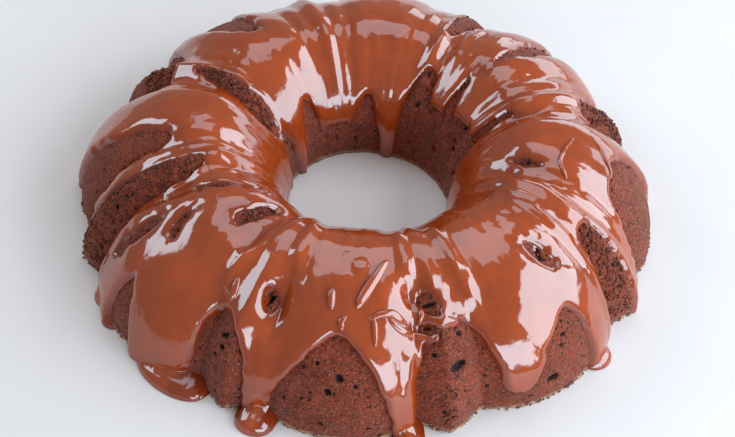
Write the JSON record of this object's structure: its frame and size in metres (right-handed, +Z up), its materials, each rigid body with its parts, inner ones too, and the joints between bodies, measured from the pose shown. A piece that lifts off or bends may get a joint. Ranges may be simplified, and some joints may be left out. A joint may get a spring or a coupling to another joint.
{
  "type": "glazed ring cake",
  "caption": "Fluted chocolate zucchini ring cake under a glossy chocolate glaze that runs down its flutes in drips.",
  "frame": {"origin": "centre of the hole, on the plane that the cake stands on", "axes": "+Z up along the hole's axis; -Y is the side nearest the camera in the picture, +X is its right"},
  "size_m": [0.2529, 0.2554, 0.0515],
  "materials": {
    "sponge": "matte, open crumb",
    "glaze": "smooth wet gloss"
  },
  "bodies": {
    "root": {"cake": "sponge", "glaze": "glaze"}
  },
  "joints": []
}
